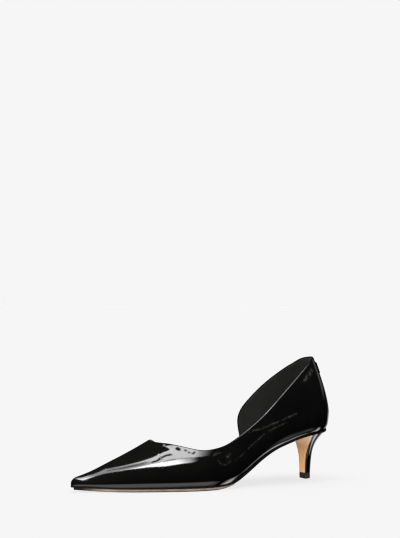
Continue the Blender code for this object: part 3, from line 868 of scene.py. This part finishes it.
def treadInset(along):
    share = softStep((along - plateLook["treadToeStart"]) / plateLook["treadToeRun"])
    return plateLook["treadInset"] + plateLook["treadToe"] * share


def insoleEdges(along):
    usual, width = insoleInset["inset"][0], insoleInset["blend"]
    low, high = outlineEdges(along, usual, insoleInset["toe"], usual)
    xs = np.linspace(along - 3 * width, along + 3 * width, insoleInset["blendSteps"])
    weights = bell(xs - along, width)
    inset = float(np.sum(np.interp(xs, insoleInset["along"], insoleInset["inset"]) * weights) / weights.sum())
    return low, high + usual - inset


solePlate = plate("soleEdge", bothEnds(seatTuck - marginAt(0.0), length + marginAt(length)),
                  lambda along: outlineEdges(along, -marginAt(along), -marginAt(length), -marginAt(0.0)),
                  lambda along: soleTop(along) + plateLook["soleRaise"],
                  lambda along: soleBottom(along) + treadExtra(along), edgePaint, plateLook["soleEdge"])
treadRun = length - treadInset(length) - plateLook["treadStart"]
treadTurns = np.linspace(0.0, math.pi / 2, plateLook["treadStations"])
treadPlate = plate("treadLeather", plateLook["treadStart"] + treadRun * np.sin(treadTurns),
                   lambda along: outlineEdges(along, treadInset(along) - marginAt(along),
                                              treadInset(length), 0.0),
                   lambda along: underSeat(along) + treadExtra(along), soleUnderside, treadTan,
                   plateLook["treadEdge"])
insolePlate = plate("sockLining", bothEnds(seatTuck + insoleInset["inset"][0], length - insoleInset["toe"]),
                    insoleEdges, lambda along: featherHeight(along) + plateLook["insoleThick"],
                    featherHeight, sock, plateLook["insoleEdge"])
print("plates ready")


# Heel, its tan facing and the lift

heelLook = {
    "height": [5.3, 12.0, 17.5, 22.8, 27.0, 31.5, 36.0, 40.0, 43.5],
    "half":   [5.2, 5.4, 6.0, 7.2, 9.0, 11.5, 15.0, 19.0, 22.3],
    "depth":  [6.3, 6.7, 7.1, 7.6, 8.1, 9.2, 11.3, 14.8, 19.2],
    "front":  [22.5, 22.5, 22.5, 22.5, 22.5, 22.5, 22.6, 23.0, 23.6],
    # the table is read in fine steps and softened over a width of some of them
    "steps": 200,
    "blend": 9.0,
    "reach": 30,
    "rings": 60,
    "ringBias": 0.9,
    "sink": 0.2,
    "arc": 48,
    "facing": 0.8,
    "facingColumns": 17,
    "facingInset": (1.5, 0.25),
    "facingGap": 0.08,
    "liftHeight": 5.0,
    "cornerRound": 0.5,
    "facingRound": 0.25,
    "liftRound": 0.35,
}
heelBottom, heelTop = heelLook["height"][0], heelLook["height"][-1]
ringRises = np.linspace(0.0, 1.0, heelLook["rings"]) ** heelLook["ringBias"]
heelTurns = np.linspace(-math.pi / 2, math.pi / 2, heelLook["arc"] + 1)


def heelAt(level):
    fine = np.linspace(heelBottom, heelTop, heelLook["steps"])
    values = []
    for name in ("half", "depth", "front"):
        line = softened(np.interp(fine, heelLook["height"], heelLook[name]), heelLook["blend"],
                        heelLook["reach"], mode="reflect", reflect_type="odd")
        values.append(np.interp(level, fine, line))
    return values


def heelLevel(along, rise):
    # from just inside the lift to the sole above
    bottom = heelBottom - heelLook["sink"]
    return bottom + (underSeat(along) - heelBottom + heelLook["sink"]) * rise


def heelRing(half, depth, front):
    return front - depth * np.cos(heelTurns), half * np.sin(heelTurns)


def makeHeel():
    rings = []
    for rise in ringRises:
        along, across = heelRing(*heelAt(heelBottom + (heelTop - heelBottom) * rise))
        rings.append(np.stack([along, across, heelLevel(along, rise)], -1))
    rows, count = len(heelTurns), len(rings)
    faces = gridQuads(count, rows)
    for ring in range(count - 1):
        corner = ring * rows
        faces.append([corner, corner + rows, corner + 2 * rows - 1, corner + rows - 1])
    faces.append(list(range(rows)))
    start = (count - 1) * rows
    for step in range(heelLook["arc"] // 2):
        first, last = start + step, start + heelLook["arc"] - step
        quad = [first, first + 1, last - 1, last]
        faces.append(quad if first + 1 != last - 1 else quad[:3])
    piece = makePiece("heelCover", np.concatenate(rings), faces, heelPatent)
    return roundEdges(piece, heelLook["cornerRound"], 4)


def makeFacing():
    thick, gap = heelLook["facing"], heelLook["facingGap"]
    near, far = heelLook["facingInset"]
    backFace, frontFace = [], []
    for rise in ringRises:
        half, _, front = heelAt(heelBottom + (heelTop - heelBottom) * rise)
        across = np.linspace(near - half, half - far, heelLook["facingColumns"])
        ones = np.ones_like(across)
        level = heelLevel(front + gap + thick, rise) * ones
        backFace.append(np.stack([ones * (front + gap), across, level], -1))
        frontFace.append(np.stack([ones * (front + gap + thick), across, level], -1))
    piece = makePiece("breastFacing", np.concatenate(backFace + frontFace),
                      slabQuads(len(ringRises), heelLook["facingColumns"]), breastTan)
    return roundEdges(piece, heelLook["facingRound"])


def makeLift():
    half, depth, front = heelAt(heelBottom)
    wider = heelLook["facingGap"] + heelLook["facing"]
    along, across = heelRing(half, depth + wider, front + wider)
    rings = [np.stack([along, across, np.full_like(along, level)], -1)
             for level in (0.0, heelLook["liftHeight"])]
    rows = len(heelTurns)
    faces = gridQuads(2, rows) + [[0, rows, 2 * rows - 1, rows - 1], list(range(rows)),
                                  list(range(2 * rows - 1, rows - 1, -1))]
    return roundEdges(makePiece("heelLift", np.concatenate(rings), faces, rubber), heelLook["liftRound"], 3,
                      50.0)


heelCover, breastFacing, heelLift = makeHeel(), makeFacing(), makeLift()
print("heel ready")


# Tab at the top of the back seam

tabLook = {
    "halfWidth": 4.8,
    "top": 105.6,
    "bottom": 95.6,
    "thick": 1.1,
    "lift": 0.12,
    "steps": 16,
    "edge": 0.42,
    "probe": 0.5,
}


def tabSurface(share, level, out):
    # a point of the tab, out from the upper by its own normal there
    height = heightReaching(level, 0.0)
    radius = abs(backPoint(90.0, height)[1])
    degrees = math.degrees(math.asin(share * tabLook["halfWidth"] / radius))
    probe = tabLook["probe"]
    beside = backPoint(degrees + probe, height) - backPoint(degrees - probe, height)
    above = backPoint(degrees, height + probe) - backPoint(degrees, height - probe)
    outward = np.cross(beside, above)
    outward /= np.linalg.norm(outward)
    if outward[0] > 0.0:
        outward = -outward
    return backPoint(degrees, height) + outward * out


def makeTab():
    rows = tabLook["steps"] + 1
    places = [(share, level) for share in np.linspace(-1.0, 1.0, rows)
              for level in np.linspace(tabLook["bottom"], tabLook["top"], rows)]
    points = [tabSurface(*place, out) for out in (tabLook["lift"], tabLook["lift"] + tabLook["thick"])
              for place in places]
    return roundEdges(makePiece("backTab", np.array(points), slabQuads(rows, rows), patent),
                      tabLook["edge"], 4)


backTab = makeTab()
print("tab ready")


# Stitches: beads set along a path

stitchLook = {
    "pitch": 1.9,
    "length": 1.35,
    "thick": 0.36,
    "vary": (0.92, 1.06),
    "segments": 8,
    "rings": 6,
    "tabInset": 0.95,
    "tabRaise": 0.02,
    "tabSteps": 12,
    "liningInset": 2.4,
    "liningRaise": 0.05,
    "liningEnds": 3,
    "seed": 7,
}


def stitchTree(finish):
    tree = bpy.data.node_groups.new("stitchRow", "GeometryNodeTree")
    face = tree.interface
    face.new_socket("Geometry", in_out="INPUT", socket_type="NodeSocketGeometry")
    sockets = {name: face.new_socket(name, in_out="INPUT", socket_type="NodeSocketFloat").identifier
               for name in ("pitch", "length", "thick")}
    face.new_socket("Geometry", in_out="OUTPUT", socket_type="NodeSocketGeometry")
    graph = Graph(tree)
    given = graph.add("NodeGroupInput")
    curve = graph.add("GeometryNodeMeshToCurve", {"Mesh": given["Geometry"]})["Curve"]
    spots = graph.add("GeometryNodeCurveToPoints", {"Curve": curve, "Length": given["pitch"]}, mode="LENGTH")
    turn = graph.add("FunctionNodeAlignRotationToVector", {"Vector": spots["Tangent"]}, axis="Z")
    bead = graph.add("GeometryNodeMeshUVSphere", {"Segments": stitchLook["segments"],
                                                  "Rings": stitchLook["rings"], "Radius": 0.5})
    least, most = stitchLook["vary"]
    chance = graph.add("FunctionNodeRandomValue", {2: least, 3: most, "Seed": stitchLook["seed"]},
                       data_type="FLOAT")[1]
    size = graph.add("ShaderNodeCombineXYZ", {"X": given["thick"], "Y": given["thick"],
                                              "Z": graph.product(given["length"], chance)})["Vector"]
    beads = graph.add("GeometryNodeInstanceOnPoints", {"Points": spots["Points"], "Instance": bead["Mesh"],
                                                       "Rotation": turn["Rotation"], "Scale": size})
    real = graph.add("GeometryNodeRealizeInstances", {"Geometry": beads["Instances"]})["Geometry"]
    dressed = graph.add("GeometryNodeSetMaterial", {"Geometry": real, "Material": finish})["Geometry"]
    graph.add("NodeGroupOutput", {"Geometry": dressed})
    return tree, sockets


def makeStitches(name, path):
    mesh = bpy.data.meshes.new(name)
    mesh.from_pydata(toShoe(np.array(path)).tolist(), [(spot, spot + 1) for spot in range(len(path) - 1)], [])
    mesh.materials.append(thread)
    piece = addPiece(name, mesh)
    rows = piece.modifiers.new("stitches", "NODES")
    rows.node_group, sockets = stitchTree(thread)
    for value, socket in sockets.items():
        rows[socket] = stitchLook[value] * mm
    bakeModifiers(piece)
    smoothShaded(piece.data)
    return piece


def tabPath():
    inset = stitchLook["tabInset"]
    side = 1.0 - inset / tabLook["halfWidth"]
    low, high = tabLook["bottom"] + inset, tabLook["top"] - inset
    corners = np.array([(-side, low), (side, low), (side, high), (-side, high), (-side, low)])
    out = tabLook["lift"] + tabLook["thick"] + stitchLook["tabRaise"]
    path = []
    for start, end in zip(corners, corners[1:]):
        for step in np.linspace(0.0, 1.0, stitchLook["tabSteps"] + 1)[:-1]:
            path.append(tabSurface(*(start + (end - start) * step), out))
    return path + path[:1]


def liningPath():
    path = []
    ends = stitchLook["liningEnds"]
    for column in range(ends, columnCount - ends, 2):
        mark = (rowCount - 1) * (1.0 - min(stitchLook["liningInset"] / heights[column], 0.6))
        low = int(mark)
        part = mark - low
        spot = liningRows[column][low] * (1 - part) + liningRows[column][low + 1] * part
        path.append(spot - liningNormals[column][low] * (liningDepth + stitchLook["liningRaise"]))
    return path


tabStitches = makeStitches("tabStitches", tabPath())
liningStitches = makeStitches("liningStitches", liningPath())
print("stitches ready:", len(tabStitches.data.polygons) + len(liningStitches.data.polygons), "faces")


# Every piece rides on the shoe and stands for its solid

shoe = bpy.data.collections.new("shoe")
for piece, node, slot in ((upperPatent, "upper", "patent"), (upperLining, "upper", "lining"),
                          (insolePlate, "insole", "lining"), (solePlate, "sole", "edge_black"),
                          (treadPlate, "forefoot_tread", "tan_leather"), (heelCover, "heel", "heel_patent"),
                          (breastFacing, "breast_cover", "tan_leather"), (heelLift, "top_piece", "rubber"),
                          (backTab, "back_tab", "patent"), (tabStitches, "back_tab", "patent"),
                          (liningStitches, "upper", "lining")):
    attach(piece, "root")
    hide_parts(node)
    shoe.objects.link(piece)


# Floor, light and camera

studio = {
    "camera": {"place": (-0.76368, -1.56099, 0.23806), "turn": -25.983, "dip": 1.505, "focal": 175.77},
    "floor": {"size": 6.0, "height": -0.0002, "colour": (0.85, 0.85, 0.85, 1.0), "rough": 0.9},
    # the room as the shoe mirrors it; each row is a strength at its start and end, and where it starts and ends
    "paper": 0.92,
    "room": 0.003,
    "ambient": 0.9,
    "sweep": (0.9, 0.45),
    "frontRise": (0.0, 1.0, 0.42, 0.56),
    "frontFall": (1.0, 0.25, 0.80, 0.92),
    "frontSide": (1.3, 0.0, 0.1, 0.5),
    "steepening": (0.0, 0.16, -0.15, 0.25),
    "backRise": (0.0, 3.2, 0.42, 0.51),
    "backSide": (0.0, 1.0, 0.60, 0.70),
    "behindFar": (0.0, 1.0, 0.55, 0.70),
    "behindSide": (0.0, 1.0, 0.25, 0.40),
    "behindRise": (0.0, 0.92, 0.04, 0.12),
    # one overhead softbox with a scrim over part of it, one metre above the shoe; the curves give, for places
    # from its front to its back, where the light starts, where the scrim starts and where the scrim ends
    "softbox": {
        "low": (-0.40, -1.00), "high": (0.50, 0.50), "place": (0.01, -0.265, 1.03),
        "bare": 16.0, "scrim": 8.0, "gap": 0.006, "soft": 0.006,
        "start": [(-1.00, -0.05), (-0.96, -0.15), (-0.84, -0.22), (-0.75, -0.28), (-0.61, -0.30),
                  (-0.42, -0.333), (-0.27, -0.342), (-0.19, -0.358), (-0.12, -0.375), (0.50, -0.375)],
        "scrimStart": [(-1.00, 0.50), (-0.85, 0.30), (-0.76, 0.11), (-0.64, -0.09), (-0.51, -0.165),
                       (-0.42, -0.21), (-0.32, -0.225), (-0.25, -0.257), (-0.19, -0.285), (-0.14, -0.32),
                       (-0.11, -0.40), (0.50, -0.40)],
        "scrimEnd": [(-1.00, 0.50), (0.00, 0.50), (0.025, -0.155), (0.05, -0.195), (0.08, -0.22),
                     (0.11, -0.232), (0.15, -0.243), (0.20, -0.247), (0.28, -0.24), (0.36, -0.215),
                     (0.40, -0.45), (0.50, -0.45)],
        # each starts, ends and bends by a power; the corner that the toe mirrors is dimmer by a share
        "bareFade": (-0.24, 0.10, 3.0), "scrimFade": (-0.06, 0.50, 2.0),
        "toeDim": {"share": 0.6, "along": (-0.22, -0.08), "across": (-0.225, -0.26)},
    },
    "rimFade": 0.2,
}
# the other lights: place, size, radiance and target; the fills reach the shoe alone and the paper has a light
# of its own, so that its shadow stays faint
lightLooks = {
    "rimBox": ((1.45, 0.42, 0.38), (0.6, 0.4), 0.25, (0.1, 0.0, 0.08)),
    "fillBox": ((-1.2, -1.6, 1.4), (1.2, 1.2), 7.0, (0.0, 0.0, 0.05)),
    "topFill": ((0.1, 0.1, 1.8), (1.6, 1.6), 9.0, (0.0, 0.0, 0.0)),
    "paperLight": ((0.0, 0.0, 2.5), (2.0, 2.0), 150.0, None),
    "heelFill": ((0.02, -0.06, 0.003), (0.04, 0.04), 21.0, (0.1, 0.0, 0.035)),
    "lowFill": ((-1.1, -0.5, 0.16), (0.6, 0.3), 8.0, (0.1, 0.0, 0.03)),
}


def makeFloor(look):
    bpy.ops.mesh.primitive_plane_add(size=look["size"], location=(0.0, 0.0, look["height"]))
    floor = bpy.context.object
    floor.name = "floor"
    finish, graph, shader = newMaterial("floorPaper")
    graph.fill(shader, {"Base Color": look["colour"], "Roughness": look["rough"], "Specular IOR Level": 0.0})
    floor.data.materials.append(finish)
    floor.is_shadow_catcher = True
    floor.visible_glossy = False
    floor.visible_diffuse = False
    return floor


def buildWorld(look):
    world = bpy.data.worlds.new("studioRoom")
    bpy.context.scene.world = world
    world.use_nodes = True
    graph = Graph(world.node_tree)
    graph.nodes.clear()

    def background(values):
        return graph.add("ShaderNodeBackground", values)["Background"]

    def rows(**values):
        return graph.product(*(graph.span(value, *look[name]) for name, value in values.items()))

    axes = graph.axes("ShaderNodeTexCoord", "Generated")
    # how far a direction points to the back right, where the white sweep is
    sweep = graph.math("ADD", graph.product(axes["X"], look["sweep"][0]),
                       graph.product(axes["Y"], look["sweep"][1]))
    down = graph.product(axes["Z"], -1.0)
    front = rows(frontRise=down, frontFall=down, frontSide=sweep)
    # the white floor starts lower the further behind the shoe it lies, and the backdrop shows at grazing angles
    steep = graph.math("SUBTRACT", down, rows(steepening=axes["Y"]))
    back = rows(backRise=steep, backSide=sweep)
    behind = rows(behindFar=axes["Y"], behindSide=axes["X"], behindRise=down)
    glow = graph.math("ADD", graph.math("ADD", front, graph.math("MAXIMUM", back, behind)), look["room"])
    rays = graph.add("ShaderNodeLightPath")
    lit = graph.add("ShaderNodeMixShader", {"Fac": rays["Is Glossy Ray"],
                                            1: background({"Strength": look["ambient"]}),
                                            2: background({"Strength": glow})})["Shader"]
    seen = background({"Color": (look["paper"], look["paper"], look["paper"], 1.0)})
    surface = graph.add("ShaderNodeMixShader", {"Fac": rays["Is Camera Ray"], 1: lit, 2: seen})["Shader"]
    graph.add("ShaderNodeOutputWorld", {"Surface": surface})


def panelGraph(light):
    light.use_nodes = True
    graph = Graph(light.node_tree)
    return graph, graph.axes("ShaderNodeNewGeometry", "Parametric"), graph.nodes["Emission"]


def softEdges(light, fade):
    graph, axes, emission = panelGraph(light)
    graph.fill(emission, {"Strength": graph.product(*(
        graph.span(axes[axis], 0.0, 1.0, low, high)
        for axis in ("X", "Y") for low, high in ((0.0, fade), (1.0, 1.0 - fade))))})


def scrimPattern(light, look):
    graph, axes, emission = panelGraph(light)
    low, high = look["low"], look["high"]
    across = graph.span(axes["X"], low[0], high[0], 0.0, 1.0)
    along = graph.span(axes["Y"], low[1], high[1], 0.0, 1.0)

    def edge(points):
        curve = graph.nodes.new("ShaderNodeFloatCurve")
        line = curve.mapping.curves[0]
        places = [((y - low[1]) / (high[1] - low[1]), (x - low[0]) / (high[0] - low[0])) for y, x in points]
        line.points[0].location, line.points[1].location = places[0], places[-1]
        for place in places[1:-1]:
            line.points.new(*place)
        for point in line.points:
            point.handle_type = "VECTOR"
        curve.mapping.update()
        graph.fill(curve, {"Value": axes["Y"]})
        return graph.span(curve.outputs["Value"], low[0], high[0], 0.0, 1.0)

    def past(value, limit, shift=0.0):
        return graph.span(graph.math("SUBTRACT", value, limit), 0.0, 1.0, shift, shift + look["soft"])

    def fading(start, end, power):
        return graph.math("POWER", graph.span(across, 1.0, 0.0, start, end), power)

    start, scrimStart, scrimEnd = (edge(look[name]) for name in ("start", "scrimStart", "scrimEnd"))
    lit = past(across, start)
    bare = graph.product(lit, past(scrimStart, across, look["gap"]), fading(*look["bareFade"]))
    scrim = graph.product(past(across, scrimStart, look["gap"]), past(scrimEnd, across), lit,
                          fading(*look["scrimFade"]), look["scrim"] / look["bare"])
    dim = look["toeDim"]
    corner = graph.product(graph.span(along, 0.0, dim["share"], *dim["along"]),
                           graph.span(across, 0.0, 1.0, *dim["across"]))
    graph.fill(emission, {"Strength": graph.product(graph.math("ADD", bare, scrim),
                                                    graph.math("SUBTRACT", 1.0, corner))})


def addSoftbox(name, centre, size, glow, target, glossy=False, receivers=None, blockers=None):
    light = bpy.data.lights.new(name, "AREA")
    light.shape = "RECTANGLE"
    light.size, light.size_y = size
    # glow is the panel's radiance
    light.energy = glow * size[0] * size[1] * math.pi
    box = bpy.data.objects.new(name, light)
    box.location = centre
    if target is not None:
        box.rotation_euler = (Vector(centre) - Vector(target)).to_track_quat("Z", "Y").to_euler()
    # a panel either shows in the gloss or lights the matt surfaces
    box.visible_glossy = glossy
    box.visible_diffuse = not glossy
    box.visible_camera = False
    box.light_linking.receiver_collection = receivers
    box.light_linking.blocker_collection = blockers
    bpy.context.scene.collection.objects.link(box)
    return light


paper, facing = bpy.data.collections.new("paper"), bpy.data.collections.new("facing")
paper.objects.link(makeFloor(studio["floor"]))
facing.objects.link(breastFacing)
buildWorld(studio)
look = studio["softbox"]
panelSize = (look["high"][0] - look["low"][0], look["high"][1] - look["low"][1])
scrimPattern(addSoftbox("overheadBox", look["place"], panelSize, look["bare"], None, True), look)
softEdges(addSoftbox("rimBox", *lightLooks["rimBox"], True), studio["rimFade"])
for name, receivers, blockers in (("fillBox", shoe, None), ("topFill", None, None),
                                  ("paperLight", paper, paper), ("heelFill", facing, None),
                                  ("lowFill", shoe, None)):
    addSoftbox(name, *lightLooks[name], False, receivers, blockers)

camera = bpy.data.cameras.new("camera")
camera.sensor_fit = "HORIZONTAL"
camera.sensor_width = 36.0
camera.lens = studio["camera"]["focal"]
camera.clip_end = 20.0
cameraObject = addPiece("camera", camera)
cameraObject.location = studio["camera"]["place"]
cameraObject.rotation_euler = (math.radians(90.0 - studio["camera"]["dip"]), 0.0,
                               math.radians(studio["camera"]["turn"]))
bpy.context.scene.camera = cameraObject
bpy.context.scene.view_settings.view_transform = "Standard"
print("studio ready")
